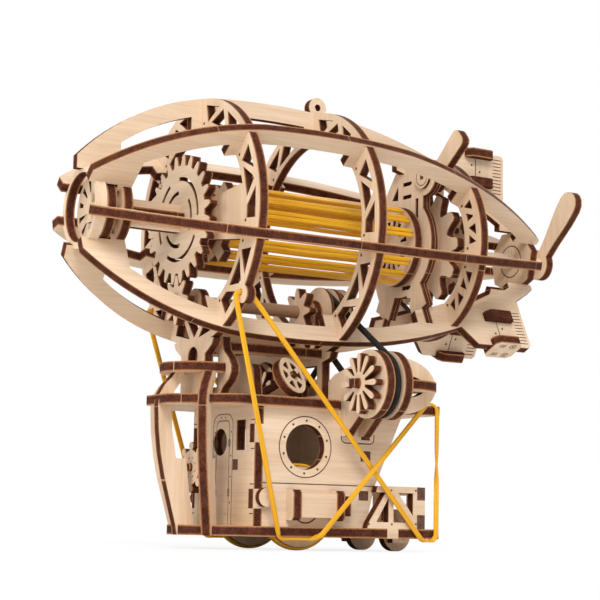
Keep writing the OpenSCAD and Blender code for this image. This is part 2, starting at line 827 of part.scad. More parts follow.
// engine bracket drawing, port side
module bracket2d() {
    roof_dz = roof_top - axis_z;
    difference() {
        union() {
            translate([-engine_y, engine_dz]) circle(r = head_r, $fn = 72);
            polygon([
                [-engine_y, engine_dz + 8], [-15, engine_dz + 4], [-11.5, engine_dz + 2], [-11.5, roof_dz],
                [-wall_y, roof_dz], [-wall_y, -64], [-wall_y - 2.4, -64], [-engine_y + 3, engine_dz - 8]
            ]);
        }
        translate([-engine_y, engine_dz]) circle(r = engine_axle_r + bearing_gap);
    }
}

// half ellipse of a tail plate from one angle to another
function tail_arch(from, to) = [for (a = [from : 6 : to]) [tail_l * cos(a), tail_h * sin(a)]];

// two crossed tail plates behind the rear bracket
module engine_tail(x) {
    translate([x, -engine_y, engine_dz]) {
        along(-half) difference() {
            polygon(tail_arch(-90, 90));
            intersection() {
                translate([2.5, 0]) scale([7.7 / 3.4, 1]) circle(r = 3.4);
                span2d(2.5, tail_l, -4, 4);
            }
        }
        for (s = [0, 1]) mirror([0, s, 0]) level(-half) intersection() {
            polygon(concat([[0, 0]], tail_arch(0, 90)));
            span2d(0, tail_l, half, tail_h);
        }
    }
}

module bracket(shift) {
    across(bracket_x + shift) bracket2d();
    across(bracket_x + ply + bracket_gap + shift) bracket2d();
    translate([0.6, 0, 0]) engine_tail(bracket_x + 2 * ply + bracket_gap + shift);
    translate([0, -engine_y, engine_dz]) difference() {
        bar_x(bracket_x + 2 * ply + bracket_gap + shift, 0.6, 5);
        bar_x(bracket_x + shift, 40, engine_axle_r + bearing_gap);
    }
}

module port_engine_bracket() {
    color("BurlyWood") at_axis() bracket(0);
}

module starboard_engine_bracket() {
    color("BurlyWood") at_axis() mirror([0, 1, 0]) bracket(groove_pitch);
}

function petal(r) = [
    [0.52, 3.4], [0.9, r - 1.3], [0.75, r - 0.5], [0.35, r], [-0.35, r], [-0.75, r - 0.5], [-0.9, r - 1.3],
    [-0.52, 3.4]
];

// engine fan with twelve petals
module fan(shift) {
    color("Wheat") at_axis() translate([0, -engine_y, engine_dz]) across(fan_x + shift) difference() {
        polygon([for (i = [0 : 11]) for (p = petal(fan_r)) turned(p, i * 30)]);
        circle(r = engine_axle_r);
    }
}

// engine pulley with its axle and a square peg in front of the fan
module engine_pulley(shift) {
    x = groove1_x - pulley_w / 2 + shift;
    end_x = bracket_x + 2 * ply + bracket_gap + 0.3;
    peg = 2.6;
    color("Peru") at_axis() translate([0, -engine_y, engine_dz]) {
        difference() {
            bar_x(x, pulley_w, engine_pitch_r - belt_r - 0.1);
            bar_x(x - 1, pulley_w + 2, engine_axle_r);
        }
        bar_x(fan_x + shift, end_x - fan_x, engine_axle_r);
        across(fan_x + shift - 2.4, 2.4) square([peg, peg], center = true);
    }
}

module port_engine_fan() {
    fan(0);
}

module port_engine_pulley() {
    engine_pulley(0);
}

module starboard_engine_fan() {
    mirror([0, 1, 0]) fan(groove_pitch);
}

module starboard_engine_pulley() {
    mirror([0, 1, 0]) engine_pulley(groove_pitch);
}

// belt in its own plane, from the drive pulley to the port engine
module belt(x) {
    d = [-engine_y, engine_dz - drive_z];
    l = norm(d);
    lean = asin((drive_pitch_r - engine_pitch_r) / l);
    run = l * cos(lean);
    turn = atan2(d[1], d[0]);
    translate([x, 0, drive_z]) rotate([90, 0, 90]) rotate([0, 0, turn]) {
        rotate([0, 0, 90 - lean]) rotate_extrude(angle = 180 + 2 * lean)
            translate([drive_pitch_r, 0]) circle(r = belt_r, $fn = 24);
        translate([l, 0, 0]) rotate([0, 0, -90 + lean]) rotate_extrude(angle = 180 - 2 * lean)
            translate([engine_pitch_r, 0]) circle(r = belt_r, $fn = 24);
        for (s = [-1, 1]) rotate([0, 0, s * (90 - lean)]) translate([drive_pitch_r, 0, 0])
            rotate([s * 90, 0, 0]) cylinder(h = run, r = belt_r, $fn = 24);
    }
}

module belts() {
    color("DimGray") at_axis() {
        belt(groove1_x);
        mirror([0, 1, 0]) belt(groove1_x + groove_pitch);
    }
}

// flat strand from p to q
module strand(p, q) {
    d = q - p;
    translate(p) rotate([0, -asin(d[2] / norm(d)), atan2(d[1], d[0])])
        translate([0, -rig_t / 2, -rig_w / 2]) cube([norm(d), rig_t, rig_w]);
}

// one looped band on port: through the front ring, under the deck, over the roof and back
module rig() {
    low = deck_z - 0.6;
    high = roof_top + 0.6;
    y = -rig_y;
    y2 = y - 2.9;
    strap = rig_t / 2 - y2 - wall_y;
    translate([0, -rig_hook_y, rig_hook_z])
        bar_x(rig_top_x[0] - 0.5, rig_top_x[1] - rig_top_x[0] + 1, 0.55);
    strand([rig_top_x[0], -rig_hook_y, rig_hook_z], [rig_low_x[0], y, low]);
    strand([rig_top_x[1], -rig_hook_y, rig_hook_z], [rig_low_x[2], y, low]);
    strand([rig_low_x[1], y2, low], [rig_high_x, y2, high]);
    strand([rig_post_x, y, low - 0.4], [rig_post_x, y, high + 0.4]);
    translate([rig_low_x[0] - 0.7, y2 - rig_t / 2, deck_z - 1])
        cube([rig_low_x[1] - rig_low_x[0] + 1.7, strap, 1]);
    translate([rig_low_x[2] - 0.7, y2 - rig_t / 2, deck_z - 1])
        cube([rig_post_x - rig_low_x[2] + 1.7, strap, 1]);
    translate([rig_high_x - 1, y2 - rig_t / 2, roof_top])
        cube([rig_post_x - rig_high_x + 2, strap, 1]);
}

module rigging_bands() {
    color("Goldenrod") at_floor() for (s = [0, 1]) mirror([0, s, 0]) rig();
}

// trapezoid teeth on a pitch circle, as one outline
function tooth(r, m, w) = [
    [w * 0.72, r - 1.3 * m], [w / 2, r], [w * 0.26, r + 0.85 * m], [-w * 0.26, r + 0.85 * m], [-w / 2, r],
    [-w * 0.72, r - 1.3 * m]
];

module gear2d(n, m, turn) {
    pts = tooth(n * m / 2, m, 0.4 * PI * m);
    polygon([for (i = [0 : n - 1]) for (p = pts) turned(p, turn + i * 360 / n)]);
}

// section of the cross-shaped shaft
module cross2d() {
    square([cross_w, ply], center = true);
    square([ply, cross_w], center = true);
}

module nose_winder() {
    color("BurlyWood") at_axis() across(winder_x) difference() {
        circle(r = winder_r, $fn = 96);
        for (i = [0 : 11]) rotate(i * 30 + 15)
            polygon([[-0.3, 5.4], [-0.9, winder_r - 1.3], [0.9, winder_r - 1.3], [0.3, 5.4]]);
        cross2d();
    }
}

module front_shaft() {
    color("Peru") at_axis() across(winder_x - 1, holder_x + ply + 0.6 - winder_x + 1) cross2d();
}

// crescent cut along a circle
module crescent2d(r, w, a) {
    intersection() {
        difference() {
            circle(r = r + w / 2, $fn = 72);
            circle(r = r - w / 2, $fn = 72);
        }
        polygon([[0, 0], pol(40, 0), pol(40, a / 2), pol(40, a)]);
    }
}

module front_gear() {
    color("BurlyWood") at_axis() across(gear_x) difference() {
        gear2d(gear_teeth, gear_module, 180 / gear_teeth);
        cross2d();
        for (i = [0 : 2]) rotate(i * 120) crescent2d(12.4, 1.2, 92);
        for (i = [0 : 2]) rotate(i * 120 + 50) crescent2d(8.2, 1.2, 70);
    }
}

// hub with four hooks, each with a shoulder for three rubber bands
module front_band_holder() {
    color("SaddleBrown") at_axis() across(holder_x) difference() {
        union() {
            circle(r = 7, $fn = 72);
            for (a = hook_turns) rotate(a) {
                span2d(-2, 2, 5, band_r + 2.4);
                intersection() {
                    circle(r = band_r - 0.6, $fn = 96);
                    polygon([[0, 0], pol(3 * band_r, band_spread + 9), pol(3 * band_r, -band_spread - 9)]);
                    span2d(-band_r, band_r, band_r - 5.6, band_r);
                }
            }
        }
        cross2d();
    }
}

// disc with petal slots, which the rubber bands hook into
module rear_band_holder() {
    color("SaddleBrown") at_axis() across(rear_holder_x) difference() {
        circle(r = band_r + 0.4, $fn = 96);
        circle(r = prop_shaft_r);
        for (i = [0 : 15]) rotate(i * 22.5 + 11.25) polygon([[-0.3, 5], [-0.85, 8.4], [0.85, 8.4], [0.3, 5]]);
    }
}

// the strands of the rubber motor, at rest
module motor_bands() {
    x0 = holder_x + ply;
    l = rear_holder_x - x0;
    color("Goldenrod") at_axis() for (a = hook_turns, d = [-band_spread, 0, band_spread])
        rotate([a + d, 0, 0]) translate([x0, -band_w / 2, band_r - band_t / 2]) cube([l, band_w, band_t]);
}

// hooked tooth of the rear gear and blunt tooth of the second wheel, each with the gap after it
function hook_tooth(r) = [
    [2.9, r - 5], [2.2, r - 3], [2, r - 1.2], [1.4, r - 0.2], [-1.1, r], [-1.8, r - 0.8], [-2.2, r - 3],
    [-2.9, r - 5], pol(r - 5.4, 15)
];
function blunt_tooth(r) = [[2, r - 2.9], [1.1, r], [-1.1, r], [-2, r - 2.9], pol(r - 2.7, 18)];

// holes or pins that join the rear gear and the second wheel
module pins2d() {
    for (i = [0 : 3]) rotate(45 + i * 90) translate([0, 9.5]) circle(r = 1);
}

module rear_gear() {
    color("BurlyWood") at_axis() {
        across(rear_gear_x) difference() {
            polygon([for (i = [0 : 11]) for (p = hook_tooth(rear_gear_r)) turned(p, i * 30)]);
            circle(r = prop_shaft_r);
            pins2d();
        }
        across(rear_gear_x, second_wheel_x + ply - rear_gear_x) pins2d();
    }
}

module second_wheel() {
    color("BurlyWood") at_axis() across(second_wheel_x) difference() {
        polygon([for (i = [0 : 9]) for (p = blunt_tooth(13.6)) turned(p, i * 36)]);
        circle(r = prop_shaft_r);
        pins2d();
    }
}

module propeller_shaft() {
    color("Wheat") at_axis() bar_x(rear_holder_x, prop_x + ply - rear_holder_x, prop_shaft_r);
}

// the single blade, from one side of the root over the tip to the other
function blade(l) = [
    [2.1, 4.8], [2.6, 10], [4, 19], [4.3, l - 4.6], [3.8, l - 2.3], [2.4, l - 0.7], [0.8, l], [-0.8, l],
    [-2.4, l - 0.7], [-3.8, l - 2.3], [-4.3, l - 4.6], [-4, 19], [-2.6, 10], [-2.1, 4.8]
];

module propeller() {
    lean = 40;
    hub_r = 5.2;
    color("BurlyWood") at_axis() across(prop_x) difference() {
        polygon([
            for (p = blade(blade_len)) turned(p, lean),
            for (a = [36 : 12 : 324]) pol(hub_r, a + lean)
        ]);
        circle(r = prop_shaft_r);
    }
}

module drive_pinions() {
    color("BurlyWood") at_axis() translate([0, 0, drive_z]) {
        for (x = [gear_x, ring2_x - 1 - ply]) across(x) difference() {
            gear2d(pinion_teeth, gear_module, 0);
            circle(r = drive_r);
        }
    }
}

module drive_shaft() {
    color("Wheat") at_axis() translate([0, 0, drive_z])
        bar_x(gear_x - 1.5, groove1_x + groove_pitch + 2 + 1.5 - gear_x + 1.5, drive_r);
}

module drive_pulley() {
    x = groove1_x - 2;
    color("Peru") at_axis() translate([0, 0, drive_z]) difference() {
        union() {
            bar_x(x, 4 + groove_pitch, drive_pitch_r - belt_r - 0.1);
            bar_x(x, flange_t, drive_pitch_r + 1.7);
            bar_x(x + groove_pitch - 0.9, 1.6, drive_pitch_r + 1.7);
            bar_x(x + groove_pitch + 4 - flange_t, flange_t, drive_pitch_r + 1.7);
        }
        bar_x(x - 1, 20, drive_r);
    }
}

function lever_outline(l) = [
    [2.7, 2.9], [3.3, l - 2.2], [3, l - 1], [2.2, l - 0.2], [1.2, l], [-1.2, l], [-2.2, l - 0.2],
    [-3, l - 1], [-3.3, l - 2.2], [-2.7, 2.9]
];

module stop_lever() {
    color("Wheat") at_axis() translate([0, lever_pin_y, lever_pin_z]) across(lever_x) difference() {
        polygon([
            for (p = lever_outline(lever_len)) turned(p, lever_lean),
            for (a = [60 : 30 : 300]) pol(lever_hub_r, a + lever_lean)
        ]);
        circle(r = 1.5 + bearing_gap);
    }
}

module wheel2d() {
    difference() {
        circle(r = wheel_r - tyre_t, $fn = 96);
        for (i = [0 : 4]) rotate(i * 72) translate([0, 7]) circle(r = 2.2);
    }
}

module main_wheels() {
    color("Wheat") at_floor() translate([axle_x, 0, wheel_r]) {
        for (s = [-1, 1]) along(s * wheel_y - half) wheel2d();
        bar_y(-wall_y + free_gap, 2 * (wall_y - free_gap), axle_r);
    }
}

module main_tyres() {
    color("Goldenrod") at_floor() translate([axle_x, 0, wheel_r])
        for (s = [-1, 1]) along(s * wheel_y - 1.2, 2.4) difference() {
            circle(r = wheel_r, $fn = 96);
            circle(r = wheel_r - tyre_t, $fn = 96);
        }
}

module rear_rollers() {
    color("Wheat") at_floor() translate([roller_x, 0, roller_r]) {
        for (s = [-1, 1]) bar_y(s * roller_y - half, ply, roller_r);
        bar_y(-hanger_y - half, 2 * hanger_y + ply, roller_axle_r);
    }
}

rib_top();
rib_upper_port();
rib_port();
rib_lower_port();
rib_lower_starboard();
rib_starboard();
rib_upper_starboard();
nose_ring();
nose_bulkhead();
front_ring();
middle_ring();
rear_ring();
rear_bulkhead();
tail_plate();
tail_flaps();
fin_clips();
pylon_ends();
pylon_sides();
pylon_top();
canopy();
bow_frames();
roof();
deck();
front_wall();
side_walls();
rear_wall();
side_tanks();
rear_truss();
helm_post();
port_engine_bracket();
starboard_engine_bracket();
belts();
rigging_bands();
nose_winder();
front_shaft();
front_gear();
front_band_holder();
motor_bands();
rear_band_holder();
rear_gear();
second_wheel();
propeller_shaft();
propeller();
drive_pinions();
drive_shaft();
drive_pulley();
port_engine_fan();
port_engine_pulley();
starboard_engine_fan();
starboard_engine_pulley();
stop_lever();
helm();
handwheel();
main_wheels();
main_tyres();
rear_rollers();
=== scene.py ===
"""Looks of the plywood airship: birch faces, burnt cut edges, engraving, rubber bands and belts."""

import math

import bpy
import numpy as np
from mathutils import Matrix, Vector


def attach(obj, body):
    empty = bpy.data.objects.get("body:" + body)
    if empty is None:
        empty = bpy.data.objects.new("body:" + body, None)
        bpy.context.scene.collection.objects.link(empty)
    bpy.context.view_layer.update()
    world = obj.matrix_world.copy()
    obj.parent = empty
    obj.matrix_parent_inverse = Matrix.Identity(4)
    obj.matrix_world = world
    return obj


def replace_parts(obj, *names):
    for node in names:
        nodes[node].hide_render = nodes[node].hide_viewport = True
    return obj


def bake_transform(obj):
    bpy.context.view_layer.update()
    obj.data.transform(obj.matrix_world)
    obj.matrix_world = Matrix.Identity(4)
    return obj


MM = 0.001
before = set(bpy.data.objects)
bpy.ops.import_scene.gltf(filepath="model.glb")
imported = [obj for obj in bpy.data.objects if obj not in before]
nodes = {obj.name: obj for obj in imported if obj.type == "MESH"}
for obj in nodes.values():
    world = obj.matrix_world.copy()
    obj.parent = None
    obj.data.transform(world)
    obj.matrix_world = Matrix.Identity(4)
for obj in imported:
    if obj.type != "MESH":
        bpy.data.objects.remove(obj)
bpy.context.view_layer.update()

# Sizes in millimetres, as in the part's source: the sheet, the axis's height and the box's middle in X
PLY = 3.0
AXIS_Z = 98.5
X_MID = 27.75
# Outer face of a side wall, half width of the deck and the stern truss, front face of the front wall
WALL_Y = 19
DECK_Y = 22
FRONT_WALL_X = -9
# Main axle: place along X and height
AXLE_X = 9
AXLE_Z = 13.0
# A flat face is a broad one if it is this much wider than the sheet
BROAD_BY = 0.35
# On the front shaft a flat face is an edge if its width is this near to the sheet's
SHAFT_EDGE_WITHIN = 0.1
# The nose ring stays pale beyond this radius
NOSE_RING_RIM = 11.8


# Materials


def new_material(name):
    """A material with an empty tree, its shader and a helper that adds nodes."""
    material = bpy.data.materials.new(name)
    material.use_nodes = True
    tree = material.node_tree
    tree.nodes.clear()
    output = tree.nodes.new("ShaderNodeOutputMaterial")
    shader = tree.nodes.new("ShaderNodeBsdfPrincipled")
    tree.links.new(shader.outputs["BSDF"], output.inputs["Surface"])

    def add(kind, inputs=None, **settings):
        node = tree.nodes.new(kind)
        for key, value in settings.items():
            setattr(node, key, value)
        for key, value in (inputs or {}).items():
            if isinstance(value, bpy.types.NodeSocket):
                tree.links.new(value, node.inputs[key])
            else:
                node.inputs[key].default_value = value
        return node

    return material, tree, shader, add


def ramp(add, fac, stops):
    """A colour ramp through (position, colour) stops."""
    node = add("ShaderNodeValToRGB", {"Fac": fac})
    elements = node.color_ramp.elements
    for i, (position, colour) in enumerate(stops):
        element = elements[i] if i < 2 else elements.new(position)
        element.position = position
        element.color = (*colour, 1)
    return node.outputs["Color"]


def noise(add, scale3, detail=3, offset=(0, 0, 0)):
    """Noise on object coordinates, stretched by a scale for each axis in features per metre."""
    coords = add("ShaderNodeTexCoord").outputs["Object"]
    mapped = add("ShaderNodeMapping", {"Vector": coords, "Scale": scale3, "Location": offset})
    node = add("ShaderNodeTexNoise", {"Vector": mapped.outputs["Vector"], "Scale": 1, "Detail": detail})
    return node.outputs["Fac"]


def mixed(add, fac, a, b, mode="MIX"):
    """Two colours, or sockets that carry them, mixed by a factor."""
    node = add("ShaderNodeMix", {"Factor": fac}, data_type="RGBA", blend_type=mode)
    for socket, value in ((node.inputs[6], a), (node.inputs[7], b)):
        if isinstance(value, bpy.types.NodeSocket):
            node.id_data.links.new(value, socket)
        else:
            socket.default_value = (*value, 1)
    return node.outputs[2]


def stretched(along, across, axis):
    """Feature scales with long features along the grain axis and short ones across it."""
    scale = [across, across, across]
    scale["xyz".index(axis)] = along
    return scale


def birch(name, axis, pale=(0.755, 0.575, 0.410), deep=(0.64, 0.450, 0.290)):
    """Sanded birch face: broad figure, fine fibres and short dark pores along the grain axis."""
    material, tree, shader, add = new_material(name)
    figure = noise(add, stretched(14, 150, axis), 2)
    fibre = noise(add, stretched(60, 1700, axis), 4)
    pores = noise(add, stretched(220, 2600, axis), 2, (0.3, 0.1, 0.2))
    base = ramp(add, figure, [(0.3, pale), (0.75, deep)])
    grain = ramp(add, fibre, [(0.34, (0.80, 0.76, 0.70)), (0.58, (1, 1, 1))])
    colour = mixed(add, 0.45, base, grain, "MULTIPLY")
    fleck = ramp(add, pores, [(0.66, (1, 1, 1)), (0.76, (0.62, 0.50, 0.38))])
    colour = mixed(add, 0.4, colour, fleck, "MULTIPLY")
    tree.links.new(colour, shader.inputs["Base Color"])
    rough = add("ShaderNodeMapRange", {"Value": fibre, "To Min": 0.50, "To Max": 0.68})
    tree.links.new(rough.outputs["Result"], shader.inputs["Roughness"])
    shader.inputs["Specular IOR Level"].default_value = 0.35
    bump = add("ShaderNodeBump", {"Height": fibre, "Strength": 0.18, "Distance": 0.0002})
    tree.links.new(bump.outputs["Normal"], shader.inputs["Normal"])
    return material


def sparse_lines(add, axis, pitch, width, shift):
    """1 on thin planes square to an axis, a pitch apart, and 0 between them."""
    coords = add("ShaderNodeTexCoord").outputs["Object"]
    part = add("ShaderNodeSeparateXYZ", {"Vector": coords}).outputs[axis]
    turns = add("ShaderNodeMath", {0: part, 1: 1 / pitch, 2: shift}, operation="MULTIPLY_ADD")
    phase = add("ShaderNodeMath", {0: turns.outputs[0]}, operation="FRACT")
    return add("ShaderNodeMath", {0: phase.outputs[0], 1: width / pitch}, operation="LESS_THAN").outputs[0]


def burnt(name, dark=(0.052, 0.016, 0.009), warm=(0.092, 0.030, 0.016), rim=(0.42, 0.190, 0.080)):
    """Laser-cut edge: charred layers, paler towards both faces of the sheet, with thin bare ticks."""
    material, tree, shader, add = new_material(name)
    soot = noise(add, (420, 420, 420), 4)
    streak = noise(add, (2300, 2300, 2300), 3, (0.4, 0.2, 0.7))
    colour = ramp(add, soot, [(0.36, dark), (0.64, warm)])
    specks = ramp(add, streak, [(0.34, (0.60, 0.57, 0.55)), (0.50, (1, 1, 1)), (0.68, (1.6, 1.45, 1.3))])
    colour = mixed(add, 0.9, colour, specks, "MULTIPLY")
    across = add("ShaderNodeAttribute", attribute_name="across").outputs["Fac"]
    ragged = add("ShaderNodeMath", {0: streak, 1: 0.16, 2: -0.08}, operation="MULTIPLY_ADD")
    depth = add("ShaderNodeMath", {0: across, 1: ragged.outputs[0]}, operation="ADD").outputs[0]
    fringe = ramp(add, depth, [(0.03, (1, 1, 1)), (0.19, (0, 0, 0)), (0.81, (0, 0, 0)), (0.97, (1, 1, 1))])
    colour = mixed(add, fringe, colour, rim)
    ticks = add(
        "ShaderNodeMath",
        {0: sparse_lines(add, "X", 0.0433, 0.00018, 0.31), 1: sparse_lines(add, "Z", 0.0471, 0.00018, 0.12)},
        operation="MAXIMUM",
    )
    faded = add("ShaderNodeMath", {0: ticks.outputs[0], 1: 0.5}, operation="MULTIPLY")
    colour = mixed(add, faded.outputs[0], colour, (0.62, 0.42, 0.25))
    tree.links.new(colour, shader.inputs["Base Color"])
    rough = add("ShaderNodeMapRange", {"Value": streak, "To Min": 0.62, "To Max": 0.85})
    tree.links.new(rough.outputs["Result"], shader.inputs["Roughness"])
    shader.inputs["Specular IOR Level"].default_value = 0.06
    bump = add("ShaderNodeBump", {"Height": streak, "Strength": 0.25, "Distance": 0.0002})
    tree.links.new(bump.outputs["Normal"], shader.inputs["Normal"])
    return material


def scorched(name, dark, warm):
    """Engraved line or end of a tenon: brown scorch of uneven depth."""
    material, tree, shader, add = new_material(name)
    depth = noise(add, (700, 700, 700), 3)
    colour = ramp(add, depth, [(0.35, dark), (0.70, warm)])
    tree.links.new(colour, shader.inputs["Base Color"])
    rough = add("ShaderNodeMapRange", {"Value": depth, "To Min": 0.7, "To Max": 0.9})
    tree.links.new(rough.outputs["Result"], shader.inputs["Roughness"])
    return material


def rubber(name, light, dark, streaks, gloss=0.5, rough=(0.38, 0.55)):
    """Rubber with fine streaks along the strand's own U direction, or with an even grain."""
    material, tree, shader, add = new_material(name)
    coords = add("ShaderNodeTexCoord").outputs["UV" if streaks else "Object"]
    scale = (6, 24, 1) if streaks else (500, 500, 500)
    mapped = add("ShaderNodeMapping", {"Vector": coords, "Scale": scale})
    texture = add("ShaderNodeTexNoise", {"Vector": mapped.outputs["Vector"], "Scale": 1, "Detail": 3})
    grain = texture.outputs["Fac"]
    colour = ramp(add, grain, [(0.36, dark), (0.62, light)])
    tree.links.new(colour, shader.inputs["Base Color"])
    sheen = add("ShaderNodeMapRange", {"Value": grain, "To Min": rough[0], "To Max": rough[1]})
    tree.links.new(sheen.outputs["Result"], shader.inputs["Roughness"])
    shader.inputs["Specular IOR Level"].default_value = gloss
    bump = add("ShaderNodeBump", {"Height": grain, "Strength": 0.2, "Distance": 0.0002})
    tree.links.new(bump.outputs["Normal"], shader.inputs["Normal"])
    return material


birch_along = birch("birch_grain_along", "x")
birch_upright = birch("birch_grain_upright", "z")
birch_across = birch("birch_grain_across", "y")
pale_rod = birch("birch_rod", "x", (0.80, 0.63, 0.46), (0.70, 0.52, 0.35))
# Rod of the drive shaft: pale birch darkened to deep brown, painted shade for the dark it sits in
shade_painted_rod = birch("birch_rod_painted_shade", "x", (0.30, 0.17, 0.09), (0.20, 0.10, 0.05))
char_edge = burnt("burnt_edge")
yellow_band = rubber("yellow_band", (0.80, 0.41, 0.010), (0.60, 0.26, 0.004), True, 0.3)
yellow_tyre = rubber("yellow_tyre", (0.78, 0.42, 0.014), (0.64, 0.29, 0.006), False)
black_belt = rubber("black_belt", (0.020, 0.016, 0.014), (0.009, 0.007, 0.006), False, 0.15, (0.65, 0.85))
engraved = scorched("engraved_line", (0.050, 0.019, 0.009), (0.135, 0.058, 0.028))
tenon_end = scorched("tenon_end", (0.062, 0.022, 0.010), (0.150, 0.062, 0.030))


# Faces and cut edges of the plywood pieces


def joined_labels(corner_id):
    """Labels of groups of triangles that are joined through shared corners."""
    count = len(corner_id)
    label = np.arange(count)
    while True:
        least = np.full(corner_id.max() + 1, count)
        np.minimum.at(least, corner_id.reshape(-1), np.repeat(label, 3))
        joined = least[corner_id].min(1)
        if (joined == label).all():
            return np.unique(label, return_inverse=True)[1].reshape(-1)
        label = joined


def row_ids(rows):
    """A number for each row, the same for equal rows."""
    return np.unique(rows, axis=0, return_inverse=True)[1].reshape(-1)


def planar_patches(corners):
    """Solid label, flat patch label and normal of each triangle."""
    normal = np.cross(corners[:, 1] - corners[:, 0], corners[:, 2] - corners[:, 0])
    normal /= np.maximum(np.linalg.norm(normal, axis=1, keepdims=True), 1e-12)
    offset = np.einsum("ij,ij->i", normal, corners[:, 0])
    plane = row_ids(np.column_stack([np.round(normal, 2), np.round(offset, 2)]))
    place = row_ids(np.round(corners.reshape(-1, 3), 3))
    patch = row_ids(np.column_stack([np.repeat(plane, 3), place]))
    return joined_labels(place.reshape(-1, 3)), joined_labels(patch.reshape(-1, 3)), normal


def patch_spread(corners, label, direction):
    """Lowest and highest reach of each triangle's patch along a direction, one for all or one for each."""
    reach = np.einsum("ikj,ij->ik", corners, np.broadcast_to(direction, (len(corners), 3)))
    top = np.full(label.max() + 1, -np.inf)
    bottom = np.full(label.max() + 1, np.inf)
    np.maximum.at(top, label, reach.max(1))
    np.minimum.at(bottom, label, reach.min(1))
    return bottom[label], top[label], reach


def patch_width(corners, label, normal):
    """Least width of each triangle's flat patch, over a fan of directions and its largest triangle's own."""
    helper = np.where(np.abs(normal[:, :1]) < 0.8, [[1.0, 0, 0]], [[0, 1.0, 0]])
    first = np.cross(normal, helper)
    first /= np.linalg.norm(first, axis=1, keepdims=True)
    second = np.cross(normal, first)
    fan_step = 7.5
    fan = np.radians(np.arange(0, 180, fan_step))
    directions = [first * math.cos(a) + second * math.sin(a) for a in fan]
    area = np.linalg.norm(np.cross(corners[:, 1] - corners[:, 0], corners[:, 2] - corners[:, 0]), axis=1)
    order = np.lexsort((area, label))
    last = np.searchsorted(label[order], np.arange(label.max() + 1), side="right") - 1
    lead = order[last][label]
    for k in range(3):
        square = np.cross(normal[lead], corners[lead, (k + 1) % 3] - corners[lead, k])
        directions.append(square / np.maximum(np.linalg.norm(square, axis=1, keepdims=True), 1e-12))
    width = np.full(len(corners), np.inf)
    for direction in directions:
        bottom, top, _ = patch_spread(corners, label, direction)
        width = np.minimum(width, top - bottom)
    return width


def across_sheet(corners, solid, label, normal, broad):
    """Where each triangle corner lies across the sheet, from 0 at one face to 1 at the other."""
    square_within, loosest_fit = 0.1, 50.0
    across = np.full((len(corners), 3), 0.5)
    misfit = np.full(len(corners), loosest_fit)
    side = np.where(normal[:, :1] + 0.5 * normal[:, 1:2] + 0.25 * normal[:, 2:] < 0, -normal, normal)
    for i in range(solid.max() + 1):
        for direction in np.unique(np.round(side[broad & (solid == i)], 2), axis=0):
            direction = direction / np.linalg.norm(direction)
            bottom, top, reach = patch_spread(corners, label, direction)
            square = (np.abs(normal @ direction) <= square_within) & (solid == i)
            misses = np.abs(top - bottom - PLY)
            better = square & (misses < misfit)
            share = (reach - bottom[:, None]) / np.maximum(top - bottom, 1e-6)[:, None]
            across[better] = share[better]
            misfit[better] = misses[better]
    return across


def dress_plywood(name, face, edge):
    """Gives a node's broad faces and its cut edges their materials."""
    mesh = nodes[name].data
    points = np.zeros(len(mesh.vertices) * 3, np.float32)
    mesh.vertices.foreach_get("co", points)
    loops = np.zeros(len(mesh.loops), np.int32)
    mesh.loops.foreach_get("vertex_index", loops)
    corners = points.reshape(-1, 3)[loops].reshape(-1, 3, 3).astype(float) / MM
    solid, label, normal = planar_patches(corners)
    width = patch_width(corners, label, normal)
    broad = width > PLY + BROAD_BY
    if name == "front_shaft":
        broad = np.abs(width - PLY) > SHAFT_EDGE_WITHIN
    across = mesh.attributes.new("across", "FLOAT", "CORNER")
    share = across_sheet(corners, solid, label, normal, broad)
    across.data.foreach_set("value", share.reshape(-1).astype(np.float32))
    mesh.materials.clear()
    mesh.materials.append(face)
    mesh.materials.append(edge)
    mesh.polygons.foreach_set("material_index", np.where(broad, 0, 1).astype(np.int32))
    mesh.update()


def dress_whole(name, material):
    """Gives all of a node one material."""
    mesh = nodes[name].data
    mesh.materials.clear()
    mesh.materials.append(material)
    mesh.polygons.foreach_set("material_index", np.zeros(len(mesh.polygons), np.int32))
    mesh.update()


def bare_rim(name, radius):
    """Gives the faces further from the envelope's axis than a radius the sheet's own material."""
    mesh = nodes[name].data
    middle = np.zeros(len(mesh.polygons) * 3, np.float32)
    mesh.polygons.foreach_get("center", middle)
    away = np.hypot(middle[1::3], middle[2::3] - AXIS_Z * MM)
    index = np.zeros(len(away), np.int32)
    mesh.polygons.foreach_get("material_index", index)
    mesh.polygons.foreach_set("material_index", np.where(away > radius * MM, 0, index).astype(np.int32))
    mesh.update()


# The drive shaft gets the rod with painted shade, the propeller shaft the pale one
rods = {"propeller_shaft": pale_rod, "drive_shaft": shade_painted_rod}
rubber_nodes = {
    "motor_bands": yellow_band,
    "rigging_bands": yellow_band,
    "belts": black_belt,
    "main_tyres": yellow_tyre,
}
along_grain = {
    "side_walls", "side_tanks", "rear_truss", "deck", "roof", "pylon_sides", "pylon_top", "front_shaft",
}
across_grain = {"canopy", "front_wall", "rear_wall", "front_gear"}
for name in nodes:
    if name in rubber_nodes:
        dress_whole(name, rubber_nodes[name])
    elif name in rods:
        dress_whole(name, rods[name])
    elif name.startswith("rib_") or name in along_grain:
        dress_plywood(name, birch_along, char_edge)
    elif name in across_grain:
        dress_plywood(name, birch_across, char_edge)
    else:
        dress_plywood(name, birch_upright, char_edge)
bare_rim("nose_ring", NOSE_RING_RIM)


# Surfaces computed on grids, in millimetres


